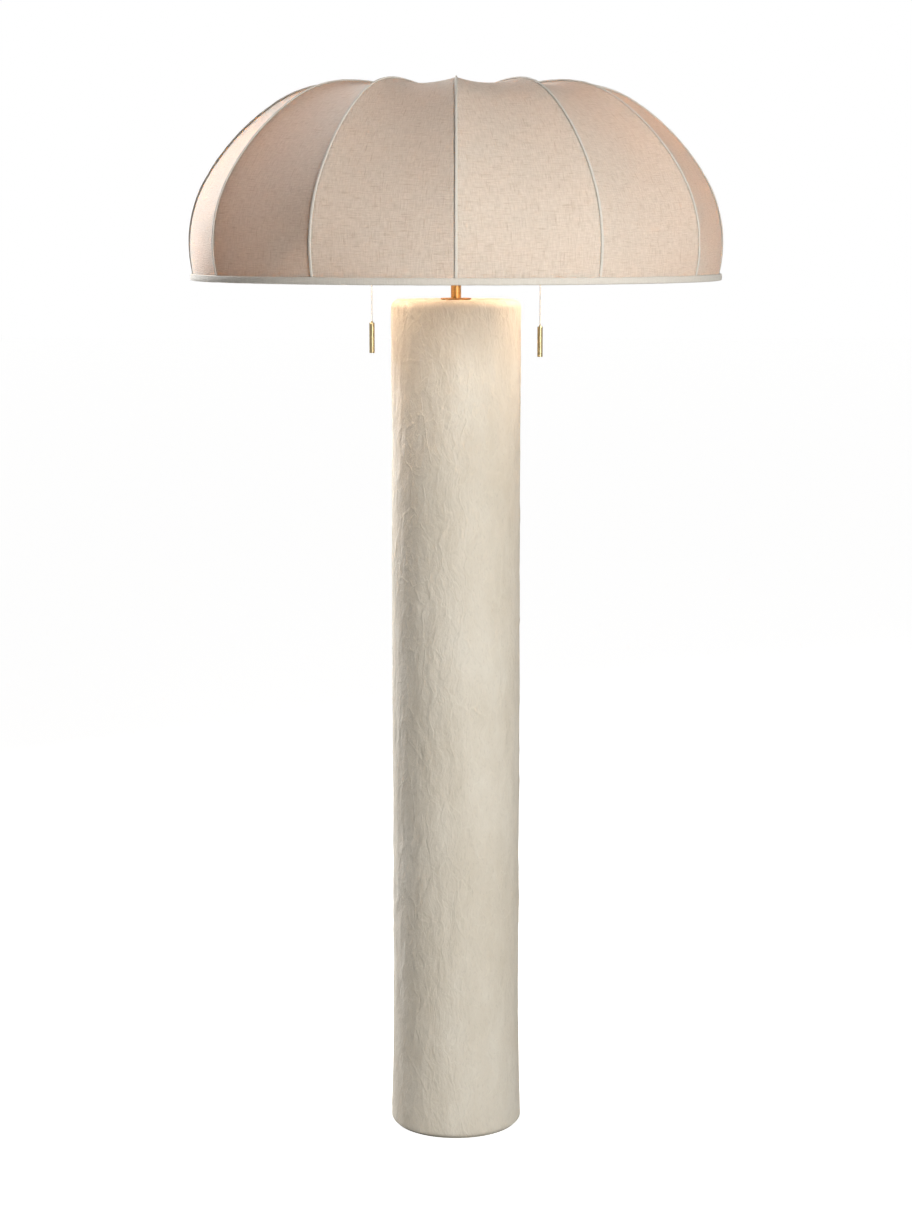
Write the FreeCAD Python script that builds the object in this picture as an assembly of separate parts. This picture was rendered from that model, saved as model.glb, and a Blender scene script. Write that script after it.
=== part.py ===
import FreeCAD, Part
import math
import os
from FreeCAD import Vector

# Floor lamp: a papier-mache column, a brass neck with two horizontal sockets and a ribbed linen
# dome. Millimetres, +Z up, the origin on the floor at the middle of the column, -Y is the front.

# ---- fits ----
seat_gap = 0.1        # radial room where one round piece seats in another
running_gap = 0.05    # radial room round a turning shaft
soft_gap = 0.3        # room beside cloth, and between pieces that move past each other
cut_past = 10.0       # a cutting shape runs this far past what it cuts

# ---- column ----
column_height = 1310.0
column_radius = 99.7
foot_radius = 103.8
flare_height = 180.0        # the foot begins to spread this high
foot_edge_radius = 7.0
top_edge_radius = 12.0
skin_thickness = 4.6        # papier-mache round the tube
lid_thickness = 6.0         # papier-mache over the top
tube_wall = 5.0
plug_thickness = 18.0
felt_thickness = 2.0
felt_inset = 6.8            # the felt stops this far inside the foot
weight_height = 45.0
recess_radius = 18.0        # pocket for the nut under the weight
recess_depth = 14.0

# ---- threaded pipe, neck and cluster ----
pipe_radius = 5.0
pipe_bore = 3.5
pipe_end = 2.0              # thread left over past a nut
nut_across = 17.0
nut_thickness = 6.0
washer_radius = 14.0
washer_thickness = 2.0
check_ring_radius = 23.75
check_ring_thickness = 2.4
neck_radius = 7.95
neck_bore = 5.4
neck_length = 119.6
cluster_radius = 20.0
cluster_height = 26.0
cluster_wall = 2.0
cluster_floor = 3.0
cover_thickness = 3.0
locknut_across = 14.0
locknut_thickness = 4.5
arm_radius = 5.0
arm_bore = 3.5
arm_rise = 14.0             # arm axis above the cluster's underside
arm_thread = 4.0            # length of an arm's end inside the cluster or a cap

# ---- cord inlet at the back of the foot ----
grommet_height = 74.0
grommet_bore = 3.5
grommet_radius = 7.0
grommet_flange = 11.0
grommet_flange_thickness = 3.0
grommet_lip = 9.0
grommet_lip_thickness = 2.0

# ---- sockets: lengths are measured outward from the back of the cap ----
chain_reach = 129.5         # each pull chain hangs this far from the middle
chain_station = 28.5        # chain, from the back of the cap
cap_radius = 16.9
cap_wall = 0.8
cap_length = 18.0
cap_dome = 10.0
cap_flat_radius = 9.0
shell_start = 12.0
shell_end = 62.0
shell_wall = 0.8
liner_wall = 0.6
liner_start = 14.0
liner_end = 60.0
liner_hole = 2.6
block_start = 31.0
block_end = 37.0
ear_start = 13.8
ear_inside = 4.2
ear_thickness = 2.2
ear_height = 10.0
screw_shell_wall = 0.5
screw_shell_end = 60.5
contact_radius = 3.0
contact_height = 3.0
lead_radius = 1.2
lead_spacing = 1.6          # each lead lies this far from the middle of the arm
lead_drop = 1.5
lead_spread = 9.0           # and this far out where it meets the socket
lead_bend = 6.0

# ---- switch and pull chains ----
chain_radius = 1.2
pitch_radius = 8.0          # chain centre line, round the switch wheel
wheel_width = 5.0
axle_radius = 1.0
mouth_radius = 3.0
mouth_bore = 1.9
mouth_lip_radius = 4.2
mouth_lip_height = 4.0
mouth_end = 30.0            # lip of the bell mouth below the socket's axis
pull_radius = 4.15
pull_length = 49.0
pull_chamfer = 0.9
pull_nub_height = 2.4
pull_nub_radius = 1.6
pull_edge = 0.6
chain_drop = {"left": 136.6, "right": 142.6}      # each chain's swinging length, above its pull

# ---- bulbs ----
screw_radius = 13.0
thread_pitch = 3.63
thread_depth = 0.8
thread_turns = 5
insulator_height = 4.0
tip_radius = 4.2
tip_height = 1.6
bulb_radius = 30.0
bulb_length = 82.0          # glass beyond the screw base
glass_thickness = 0.8
bulb_neck_length = 18.0

# ---- shade ----
shade_radius = 406.4        # outside of the rim trim
shade_height = 295.4        # rim trim's underside to the fabric at the crest
rim_rise = 30.0             # rim trim's underside above the column's top
rib_count = 12
shoulder_radius = 170.4     # the rib line is four tangent arcs: crown, shoulder, flank, skirt
shoulder_sweep = 33.0
flank_radius = 341.6
flank_sweep = 26.7
skirt_sweep = 45.5
crown_radius = 45.0
crown_dip = 25.0            # the fabric at the crown ring lies this far below the crest
crown_sag = 7.5             # a panel sags this far between two ribs at the crest
linen_thickness = 1.0
seam_gap = 0.4
panel_sections = 20
rib_radius = 2.0
rim_wire_radius = 2.0
crown_wire_radius = 2.0
piping_width = 6.0
piping_thickness = 1.2
piping_gap = 0.5            # between a strip and the linen under it
trim_height = 10.0
trim_thickness = 2.9
trim_floor = 2.5
trim_inner_leg = 1.2
trim_edge = 0.8             # the binding's edges are eased by this much
crown_trim_width = 9.0
crown_trim_depth = 4.5
crown_trim_thickness = 1.2

# ---- riser, spider and finial ----
riser_radius = 4.8
riser_tip_radius = 3.0
riser_tip_length = 17.0
rest_radius = 11.0
rest_thickness = 6.0
spider_count = 3
spider_drop = 8.0           # washer below the crown ring
spider_wire_radius = 2.0
spider_washer_radius = 17.0
spider_washer_thickness = 2.5
finial_base_radius = 11.0
finial_base_height = 3.0
finial_neck_radius = 5.5
finial_neck_height = 4.0
finial_ball_radius = 10.0

# ---- places that follow from the sizes ----
tube_radius = column_radius - skin_thickness - seat_gap
tube_inside = tube_radius - tube_wall
tube_top = column_height - lid_thickness
weight_top = felt_thickness + weight_height
recess_top = felt_thickness + recess_depth
base_nut_top = recess_top - washer_thickness
pipe_low = base_nut_top - nut_thickness - pipe_end
neck_low = column_height + check_ring_thickness
cluster_low = neck_low + neck_length
cluster_top = cluster_low + cluster_height
pipe_high = cluster_low + cluster_floor + locknut_thickness + pipe_end / 2
arm_height = cluster_low + arm_rise
socket_start = chain_reach - chain_station
bulb_seat = block_end + contact_height + soft_gap
screw_start = bulb_seat + tip_height + insulator_height
glass_start = screw_start + thread_pitch * thread_turns
shell_outer = cap_radius - cap_wall - seat_gap
shell_inner = shell_outer - shell_wall
liner_outer = shell_inner - seat_gap
liner_inner = liner_outer - liner_wall
screw_shell_inner = screw_radius + soft_gap
wheel_station = chain_station - pitch_radius
wheel_radius = pitch_radius - chain_radius - soft_gap
chain_pivot = arm_height - mouth_end - 2 * chain_radius
rim_height = column_height + rim_rise

rib_step = 360.0 / rib_count
half_step = math.radians(rib_step / 2)
linen_low = trim_floor + soft_gap         # lower edge of the linen above the rim trim's underside


def upright(radius, low, high, x=0.0, y=0.0):
    """A solid cylinder standing on z = low."""
    return Part.makeCylinder(radius, high - low, Vector(x, y, low))


def sleeve(outer, inner, low, high):
    """A tube standing on z = low."""
    return upright(outer, low, high).cut(upright(inner, low - 1, high + 1))


def rod_along(direction, radius, start, end, offset):
    """A cylinder along a horizontal direction, from start to end, its axis through offset."""
    base = offset + direction * start
    return Part.makeCylinder(radius, end - start, base, direction)


def hex_nut(across, hole, low, high):
    """A six-sided nut with a plain hole."""
    corner = across / math.sqrt(3)
    corners = [
        Vector(corner * math.cos(math.radians(60 * k)), corner * math.sin(math.radians(60 * k)), low)
        for k in range(7)
    ]
    prism = Part.Face(Part.makePolygon(corners)).extrude(Vector(0, 0, high - low))
    return prism.cut(upright(hole, low - 1, high + 1))


def flat(point):
    """An (r, z) pair as a point in the XZ plane."""
    return Vector(point[0], 0, point[1])


def bend(centre_r, centre_z, radius, start, end):
    """An arc for an outline, as its middle and end; angles in degrees from +r towards +z."""
    points = []
    for angle in ((start + end) / 2, end):
        a = math.radians(angle)
        points.append((centre_r + radius * math.cos(a), centre_z + radius * math.sin(a)))
    return tuple(points)


def outline(start, steps):
    """A closed face in the XZ plane; each step is a corner, or an arc's middle and end."""
    edges = []
    here = flat(start)
    for step in steps:
        if isinstance(step[0], tuple):
            there = flat(step[1])
            edges.append(Part.Arc(here, flat(step[0]), there).toShape())
        else:
            there = flat(step)
            edges.append(Part.LineSegment(here, there).toShape())
        here = there
    if not here.isEqual(flat(start), 1e-6):
        edges.append(Part.LineSegment(here, flat(start)).toShape())
    return Part.Face(Part.Wire(edges))


def turned(start, steps):
    """A solid turned about the Z axis from an outline of (r, z) points."""
    return outline(start, steps).revolve(Vector(), Vector(0, 0, 1), 360)


def tube_path(points, radius):
    """Straight runs through the points, joined by tangent arcs of one radius."""
    edges = []
    here = points[0]
    for before, corner, after in zip(points, points[1:], points[2:]):
        back = (before - corner).normalize()
        on = (after - corner).normalize()
        turn = math.pi - back.getAngle(on)
        cut = radius * math.tan(turn / 2)
        middle = (back + on).normalize() * (radius / math.cos(turn / 2) - radius)
        first = corner + back * cut
        last = corner + on * cut
        edges.append(Part.LineSegment(here, first).toShape())
        edges.append(Part.Arc(first, corner + middle, last).toShape())
        here = last
    edges.append(Part.LineSegment(here, points[-1]).toShape())
    return Part.Wire(edges)


def wire_solid(path, radius, start, direction):
    """A round wire swept along a path that starts at a point in a direction."""
    ring = Part.Wire(Part.Circle(start, direction, radius).toShape())
    return path.makePipeShell([ring], True, False)


def about_z(shape, angle):
    """A copy turned about the Z axis by an angle in degrees."""
    copy = shape.copy()
    copy.rotate(Vector(), Vector(0, 0, 1), angle)
    return copy


def on_side(shape, side):
    """A socket piece built along +Z with its chain towards +X, laid along one arm."""
    laid = shape.copy()
    laid.rotate(Vector(), Vector(0, 1, 0), 90)
    laid.translate(Vector(socket_start, 0, arm_height))
    return laid if side == "right" else about_z(laid, 180)


def save(node, *solids):
    """Write one node's STEP file."""
    shape = solids[0] if len(solids) == 1 else Part.makeCompound(list(solids))
    shape.exportStep("parts/" + node + ".step")


# ---------------------------------------------------------------- column

def foot_surface(z):
    """The column's outer radius at a height within the flare: an arc tangent to the straight wall."""
    spread = foot_radius - column_radius
    arc = (flare_height ** 2 + spread ** 2) / (2 * spread)
    return column_radius + arc - math.sqrt(arc ** 2 - (flare_height - z) ** 2)


def grommet_hole(shape):
    """The shape with the cord's way through its back wall."""
    way = rod_along(Vector(0, 1, 0), grommet_radius + seat_gap, tube_inside / 2,
                    foot_radius + cut_past, Vector(0, 0, grommet_height))
    return shape.cut(way)


def column_skin():
    """The papier-mache skin: a sleeve that spreads at the foot, closed by a lid with rounded edge."""
    low = felt_thickness
    foot = low + foot_edge_radius
    edge = foot_surface(foot)
    halfway = (foot + flare_height) / 2
    steps = [
        (edge - foot_edge_radius, low),
        bend(edge - foot_edge_radius, foot, foot_edge_radius, -90, 0),
        ((foot_surface(halfway), halfway), (column_radius, flare_height)),
        (column_radius, column_height - top_edge_radius),
        bend(column_radius - top_edge_radius, column_height - top_edge_radius, top_edge_radius, 0, 90),
        (pipe_radius + soft_gap, column_height),
        (pipe_radius + soft_gap, tube_top),
        (tube_radius + seat_gap, tube_top),
    ]
    return grommet_hole(turned((tube_radius + seat_gap, low), steps))


def base_weight():
    """The cast-iron disc in the foot, with a pocket for the nut underneath."""
    disc = upright(tube_inside - seat_gap, felt_thickness, weight_top)
    disc = disc.cut(upright(pipe_radius + soft_gap, 0, weight_top + 1))
    return disc.cut(upright(recess_radius, 0, recess_top))


def cord_grommet():
    """The rubber bush for the supply cord, lipped inside the tube and flanged outside the skin."""
    back = Vector(0, 1, 0)
    axis = Vector(0, 0, grommet_height)
    outside = foot_surface(grommet_height - grommet_flange) + seat_gap
    inside = math.sqrt(tube_inside ** 2 - grommet_lip ** 2) - soft_gap
    body = rod_along(back, grommet_radius, inside, outside, axis)
    flange = rod_along(back, grommet_flange, outside, outside + grommet_flange_thickness, axis)
    lip = rod_along(back, grommet_lip, inside - grommet_lip_thickness, inside, axis)
    bore = rod_along(back, grommet_bore, inside - cut_past, outside + cut_past, axis)
    return body.fuse([flange, lip]).cut(bore).removeSplitter()


def make_column():
    """The weighted column with its tie pipe, brass check ring and neck."""
    save("felt_pad", upright(foot_radius - felt_inset, 0, felt_thickness))
    save("base_weight", base_weight())
    save("core_tube", grommet_hole(sleeve(tube_radius, tube_inside, felt_thickness, tube_top)))
    save("column_skin", column_skin())
    save("top_plug", sleeve(tube_inside - seat_gap, pipe_radius + soft_gap,
                            tube_top - plug_thickness, tube_top))
    save("cord_grommet", cord_grommet())
    save("tie_pipe", sleeve(pipe_radius, pipe_bore, pipe_low, pipe_high))
    save("base_washer", sleeve(washer_radius, pipe_radius + seat_gap, base_nut_top, recess_top))
    save("base_nut", hex_nut(nut_across, pipe_radius + seat_gap, base_nut_top - nut_thickness,
                             base_nut_top))
    edge = check_ring_thickness / 2
    save("check_ring", turned((pipe_radius + seat_gap, column_height), [
        (check_ring_radius - edge, column_height),
        bend(check_ring_radius - edge, column_height + edge, edge, -90, 90),
        (pipe_radius + seat_gap, neck_low),
    ]))
    save("neck", sleeve(neck_radius, neck_bore, neck_low, cluster_low))


# ---------------------------------------------------------------- cluster, arms and riser

def spider_height():
    """The underside of the spider's washer."""
    return crown_wire_centre()[1] - spider_drop - spider_washer_thickness / 2


def make_cluster():
    """The two-way cluster on the neck, its cover, the arms and the rod that carries the shade."""
    along = Vector(1, 0, 0)
    axis = Vector(0, 0, arm_height)
    cup = upright(cluster_radius, cluster_low, cluster_top)
    cup = cup.cut(upright(cluster_radius - cluster_wall, cluster_low + cluster_floor, cluster_top + 1))
    cup = cup.cut(upright(pipe_radius + seat_gap, cluster_low - 1, cluster_top))
    cup = cup.cut(rod_along(along, arm_radius + seat_gap, -cluster_radius - 1, cluster_radius + 1, axis))
    save("cluster_body", cup)
    floor = cluster_low + cluster_floor
    save("pipe_nut", hex_nut(locknut_across, pipe_radius + seat_gap, floor, floor + locknut_thickness))
    cover_top = cluster_top + cover_thickness
    save("cluster_cover", sleeve(cluster_radius, riser_radius + seat_gap, cluster_top, cover_top))
    hole = riser_radius + seat_gap
    save("riser_nuts", hex_nut(locknut_across, hole, cluster_top - locknut_thickness, cluster_top),
         hex_nut(locknut_across, hole, cover_top, cover_top + locknut_thickness))
    washer_low = spider_height()
    riser = upright(riser_radius, cluster_top - locknut_thickness - pipe_end / 2, washer_low)
    tip = upright(riser_tip_radius, washer_low, washer_low + riser_tip_length)
    save("riser_rod", riser.fuse(tip).removeSplitter())
    save("shade_rest", sleeve(rest_radius, riser_radius + seat_gap, washer_low - rest_thickness,
                              washer_low))
    inner_end = cluster_radius - cluster_wall - arm_thread
    for side, way in (("left", -1), ("right", 1)):
        outward = along * way
        tube = rod_along(outward, arm_radius, inner_end, socket_start + arm_thread, axis)
        bore = rod_along(outward, arm_bore, inner_end - 1, socket_start + arm_thread + 1, axis)
        save("arm_" + side, tube.cut(bore))


def make_leads():
    """The two insulated leads that join the sockets, lying in the arms and spread at the switches."""
    leads = []
    z = arm_height - lead_drop
    for way in (-1, 1):
        spread = lead_spread - lead_spacing
        corners = [(socket_start + arm_thread + 1, lead_spacing),
                   (socket_start + arm_thread + 1 + spread, lead_spread),
                   (socket_start + block_start, lead_spread)]
        points = [Vector(-x, way * y, z) for x, y in reversed(corners)]
        points += [Vector(x, way * y, z) for x, y in corners]
        path = tube_path(points, lead_bend)
        leads.append(wire_solid(path, lead_radius, points[0], Vector(1, 0, 0)))
    save("socket_leads", *leads)


# ---------------------------------------------------------------- sockets and switches

def socket_cap():
    """The domed back of a socket, open towards the shell."""
    width = cap_radius - cap_flat_radius
    arc = (width ** 2 + cap_dome ** 2) / (2 * width)
    centre = cap_radius - arc
    inner = arc - cap_wall
    start = math.degrees(math.atan2(-cap_dome, cap_flat_radius - centre))
    inner_start = math.degrees(math.asin(-(cap_dome - cap_wall) / inner))
    hole = arm_radius + seat_gap
    inside_bend = bend(centre, cap_dome, inner, 0, inner_start)
    return turned((hole, 0), [
        (cap_flat_radius, 0),
        bend(centre, cap_dome, arc, start, 0),
        (cap_radius, cap_length),
        (cap_radius - cap_wall, cap_length),
        (cap_radius - cap_wall, cap_dome),
        inside_bend,
        (hole, cap_wall),
    ])


def chain_way(radius, start, end):
    """A cylinder along the chain of a socket built along +Z, measured from the socket's axis."""
    return Part.makeCylinder(radius, end - start, Vector(start, 0, chain_station), Vector(1, 0, 0))


def socket_block():
    """The moulded block inside a socket, with two ears for the switch wheel's axle."""
    block = upright(liner_inner - seat_gap, block_start, block_end)
    for way in (-1, 1):
        low = ear_inside if way > 0 else -ear_inside - ear_thickness
        ear = Part.makeBox(ear_height, ear_thickness, block_start - ear_start,
                           Vector(-ear_height / 2, low, ear_start))
        block = block.fuse(ear)
    reach = ear_inside + ear_thickness + 1
    axle = Part.makeCylinder(axle_radius + running_gap, 2 * reach, Vector(0, -reach, wheel_station),
                             Vector(0, 1, 0))
    return block.cut(axle).removeSplitter()


def switch_wheel():
    """The wheel that the chain turns, with its axle."""
    across = Vector(0, 1, 0)
    disc = Part.makeCylinder(wheel_radius, wheel_width, Vector(0, -wheel_width / 2, wheel_station),
                             across)
    reach = ear_inside + ear_thickness
    axle = Part.makeCylinder(axle_radius, 2 * reach, Vector(0, -reach, wheel_station), across)
    return disc.fuse(axle).removeSplitter()


def bell_mouth():
    """The brass spout that guides the chain out of the shell, flared at its lip."""
    start = liner_outer + soft_gap
    flare = mouth_end - mouth_lip_height
    spout = turned((mouth_bore, start), [
        (mouth_radius, start),
        (mouth_radius, flare),
        (mouth_lip_radius, mouth_end),
        (mouth_lip_radius - (mouth_radius - mouth_bore), mouth_end),
        (mouth_bore, flare),
    ])
    spout.rotate(Vector(), Vector(0, 1, 0), 90)
    spout.translate(Vector(0, 0, chain_station))
    return spout


def pull_solid(low):
    """The brass pull, a straight bar with a chamfered top and the small nub that takes the chain."""
    shoulder = low + pull_length - pull_nub_height
    return turned((0, low), [
        (pull_radius - pull_edge, low),
        bend(pull_radius - pull_edge, low + pull_edge, pull_edge, -90, 0),
        (pull_radius, shoulder - pull_chamfer),
        (pull_radius - pull_chamfer, shoulder),
        (pull_nub_radius, shoulder),
        (pull_nub_radius, low + pull_length),
        (0, low + pull_length),
    ])


def make_socket(side):
    """One socket with its switch, its chain and its pull."""
    save("socket_cap_" + side, on_side(socket_cap(), side))
    shell = sleeve(shell_outer, shell_inner, shell_start, shell_end)
    shell = shell.cut(chain_way(mouth_radius + seat_gap, 0, cap_radius + cut_past))
    save("socket_shell_" + side, on_side(shell, side))
    liner = sleeve(liner_outer, liner_inner, liner_start, liner_end)
    save("socket_liner_" + side, on_side(liner.cut(chain_way(liner_hole, 0, cap_radius + cut_past)), side))
    save("socket_block_" + side, on_side(socket_block(), side))
    thread = sleeve(screw_shell_inner + screw_shell_wall, screw_shell_inner, block_end, screw_shell_end)
    save("screw_shell_" + side, on_side(thread, side))
    contact = upright(contact_radius, block_end, block_end + contact_height)
    save("centre_contact_" + side, on_side(contact, side))
    save("bell_mouth_" + side, on_side(bell_mouth(), side))
    save("switch_wheel_" + side, on_side(switch_wheel(), side))
    x = chain_reach if side == "right" else -chain_reach
    top = chain_pivot - chain_drop[side]
    save("switch_chain_" + side, upright(chain_radius, chain_pivot + chain_radius + soft_gap, arm_height, x))
    eye = Part.makeCylinder(chain_radius, 2 * chain_radius, Vector(x - chain_radius, 0, chain_pivot),
                            Vector(1, 0, 0))
    save("pull_chain_" + side, upright(chain_radius, top, chain_pivot, x).fuse(eye))
    pull = pull_solid(top - pull_length)
    pull.translate(Vector(x, 0, 0))
    save("pull_" + side, pull)


# ---------------------------------------------------------------- bulbs

def bulb_screw():
    """The bulb's threaded base: rounded ridges between straight ends, over a coned insulator."""
    root = screw_radius - thread_depth
    steps = [(tip_radius, screw_start - insulator_height), (root, screw_start)]
    for turn in range(thread_turns):
        low = screw_start + turn * thread_pitch
        steps.append(((screw_radius, low + thread_pitch / 2), (root, low + thread_pitch)))
    steps.append((0, glass_start))
    return turned((0, screw_start - insulator_height), steps)


def bulb_glass():
    """The frosted envelope: a neck that opens into a ball, hollow inside."""
    top = glass_start + bulb_length
    centre = top - bulb_radius
    neck = screw_radius - thread_depth
    start = glass_start + bulb_neck_length
    rise = centre - start
    # a flare of one radius leaves the neck straight and meets the ball on a common tangent
    flare = (rise ** 2 + (neck ** 2) - bulb_radius ** 2) / (2 * (bulb_radius - neck))
    angle = math.degrees(math.atan2(rise, neck + flare))
    wall = glass_thickness
    ball_start = -angle
    outer = [
        (neck, glass_start),
        (neck, start),
        bend(neck + flare, start, flare, 180, 180 - angle),
        bend(0, centre, bulb_radius, ball_start, 90),
    ]
    inner = [
        (0, top - wall),
        bend(0, centre, bulb_radius - wall, 90, ball_start),
        bend(neck + flare, start, flare + wall, 180 - angle, 180),
        (neck - wall, glass_start + wall),
        (0, glass_start + wall),
    ]
    whole = turned((0, glass_start), outer)
    return whole.cut(turned(inner[0], inner[1:]))


def make_bulb(side):
    """One screw-in bulb."""
    save("bulb_glass_" + side, on_side(bulb_glass(), side))
    save("bulb_screw_" + side, on_side(bulb_screw(), side))
    tip = upright(tip_radius, bulb_seat, bulb_seat + tip_height)
    save("bulb_tip_" + side, on_side(tip, side))


# ---------------------------------------------------------------- shade

def rib_arcs():
    """The rib line's arcs, crown to rim, as centre r, centre z, radius, start and end.

    The angles are those of the line's outward normal, in degrees from +Z, so the crest is at 0. The
    skirt's radius is what is left of the height, and the crest's radius what the rim leaves.
    """
    first = shoulder_sweep
    second = first + flank_sweep
    third = second + skirt_sweep
    cosine = [math.cos(math.radians(a)) for a in (0, first, second, third)]
    sine = [math.sin(math.radians(a)) for a in (0, first, second, third)]
    used = shoulder_radius * (cosine[0] - cosine[1]) + flank_radius * (cosine[1] - cosine[2])
    skirt = (shade_height - linen_low - used) / (cosine[2] - cosine[3])
    # the linen leans outward over the height of the rim trim, which is found from the skirt's arc
    trim_turn = math.acos(cosine[3] + (trim_height - linen_low) / skirt)
    lean = skirt * (math.sin(trim_turn) - sine[3])
    rim = shade_radius - trim_thickness - soft_gap - lean
    skirt_centre = (rim - skirt * sine[3], rim_height + linen_low - skirt * cosine[3])
    flank_centre = (skirt_centre[0] + (skirt - flank_radius) * sine[2],
                    skirt_centre[1] + (skirt - flank_radius) * cosine[2])
    shoulder_centre = (flank_centre[0] + (flank_radius - shoulder_radius) * sine[1],
                       flank_centre[1] + (flank_radius - shoulder_radius) * cosine[1])
    across = shoulder_centre[0] - crown_radius
    crown = (across ** 2 + crown_dip ** 2) / (2 * crown_dip)
    crown_turn = math.degrees(math.asin(across / crown))
    crown_centre_z = shoulder_centre[1] + shoulder_radius - crown
    return [
        (shoulder_centre[0], crown_centre_z, crown, -crown_turn, 0),
        (shoulder_centre[0], shoulder_centre[1], shoulder_radius, 0, first),
        (flank_centre[0], flank_centre[1], flank_radius, first, second),
        (skirt_centre[0], skirt_centre[1], skirt, second, third),
    ]


def rib_point(turn, offset=0.0):
    """The (r, z) point of the rib line where its normal leans by turn, moved out by an offset."""
    for centre_r, centre_z, radius, _, end in rib_arcs():
        if turn <= end:
            break
    a = math.radians(turn)
    return (centre_r + (radius + offset) * math.sin(a), centre_z + (radius + offset) * math.cos(a))


def rib_edges(start, end, offset):
    """The rib line between two turns, moved out by an offset, as edges in the XZ plane."""
    edges = []
    for _, _, _, low, high in rib_arcs():
        a = max(start, low)
        b = min(end, high)
        if b - a > 1e-6:
            middle = flat(rib_point((a + b) / 2, offset))
            edges.append(Part.Arc(flat(rib_point(a, offset)), middle, flat(rib_point(b, offset))).toShape())
    return edges


def turn_at_height(z, offset):
    """The turn of the skirt's arc, moved out by an offset, at a height."""
    _, centre_z, radius, _, _ = rib_arcs()[3]
    return math.degrees(math.acos((z - centre_z) / (radius + offset)))


def turn_past_crown(length, offset):
    """The turn of the crown's arc this far outward from its inner end."""
    _, _, radius, low, _ = rib_arcs()[0]
    return low + math.degrees(length / (radius + offset))


def crown_wire_centre():
    """The (r, z) centre of the crown ring's wire, close under the linen's inner edge."""
    return rib_point(rib_arcs()[0][3], -(linen_thickness + soft_gap + crown_wire_radius))


def rim_wire_centre():
    """The (r, z) centre of the rim ring's wire, inside the linen's lower edge."""
    r, _ = rib_point(rib_arcs()[3][4])
    inset = linen_thickness + 3 * soft_gap + rim_wire_radius
    return (r - inset, rim_height + linen_low + rim_wire_radius)


def even_turns(count):
    """The turns at evenly spaced places along the rib line, from the crown ring to the rim."""
    arcs = rib_arcs()
    lengths = [radius * math.radians(high - low) for _, _, radius, low, high in arcs]
    turns = []
    for k in range(count):
        left = sum(lengths) * k / (count - 1)
        for (_, _, radius, low, _), length in zip(arcs, lengths):
            if left <= length + 1e-6:
                break
            left -= length
        turns.append(low + math.degrees(left / radius))
    return turns


def panel_bulge(turn):
    """How far a panel's middle stands out of the chord between its ribs: round at the rim,
    hollow at the crest, flat at the crown ring."""
    arcs = rib_arcs()
    if turn < 0:
        return -crown_sag * math.cos(math.pi / 2 * turn / arcs[0][3])
    share = turn / arcs[3][4]
    round_rim = rib_point(arcs[3][4])[0] * (1 - math.cos(half_step))
    return round_rim * share ** 4 - crown_sag * math.cos(math.pi / 2 * share)


def across(middle, edge, rise):
    """A parabola from edge to edge over a middle point that is lifted by rise."""
    curve = Part.BezierCurve()
    curve.setPoles([middle - edge, middle + rise * 2, middle + edge])
    return curve.toShape()


def panel():
    """One linen panel between two ribs, lofted along the rib line through thin sections.

    A section stands square to the rib line, and level below the widest place, so the rim is level.
    """
    sections = []
    for turn in even_turns(panel_sections):
        r, z = rib_point(turn)
        lean = math.radians(min(turn, 90))
        normal = flat((math.sin(lean), math.cos(lean)))
        outer = Vector(r * math.cos(half_step), 0, z)
        inner = outer - normal * linen_thickness
        edge = Vector(0, r * math.sin(half_step) - seam_gap, 0)
        rise = normal * panel_bulge(turn)
        sections.append(Part.Wire([
            across(outer, edge, rise),
            Part.LineSegment(outer + edge, inner + edge).toShape(),
            across(inner, edge * -1, rise),
            Part.LineSegment(inner - edge, outer - edge).toShape(),
        ]))
    return Part.makeLoft(sections, True, False)


def rib():
    """One steel rib wire, from the crown ring to the rim ring."""
    offset = -(linen_thickness + 2 * soft_gap + rib_radius)
    start = turn_past_crown(crown_wire_radius + soft_gap, offset)
    end = turn_at_height(rim_wire_centre()[1] + rim_wire_radius + soft_gap, offset)
    lean = math.radians(start)
    along = flat((math.cos(lean), -math.sin(lean)))
    return wire_solid(Part.Wire(rib_edges(start, end, offset)), rib_radius,
                      flat(rib_point(start, offset)), along)


def piping():
    """One bias strip over a seam, from the crown trim to the rim trim."""
    outer = piping_gap + piping_thickness
    start = turn_past_crown(crown_trim_width + soft_gap, 0)
    end = turn_at_height(rim_height + trim_height + soft_gap, outer)
    edges = rib_edges(start, end, outer)
    edges.append(Part.LineSegment(flat(rib_point(end, outer)), flat(rib_point(end, piping_gap))).toShape())
    edges += rib_edges(start, end, piping_gap)
    edges.append(Part.LineSegment(flat(rib_point(start, piping_gap)), flat(rib_point(start, outer))).toShape())
    face = Part.Face(Part.Wire(Part.__sortEdges__(edges)))
    face.translate(Vector(0, -piping_width / 2, 0))
    return face.extrude(Vector(0, piping_width, 0))


def rim_trim():
    """The rolled binding round the rim: a U in section, over the linen's edge and the rim ring."""
    low = rim_height
    top = rim_height + trim_height
    outside = shade_radius
    leg = outside - trim_thickness
    inner_leg = rim_wire_centre()[0] - rim_wire_radius - soft_gap
    inside = inner_leg - trim_inner_leg
    floor = low + trim_floor
    return turned((inside + trim_edge, low), [
        (outside - trim_edge, low),
        (outside, low + trim_edge),
        (outside, top - trim_edge),
        (outside - trim_edge, top),
        (leg + trim_edge, top),
        (leg, top - trim_edge),
        (leg, floor),
        (inner_leg, floor),
        (inner_leg, top),
        (inside, top),
        (inside, low + trim_edge),
    ])


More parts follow.
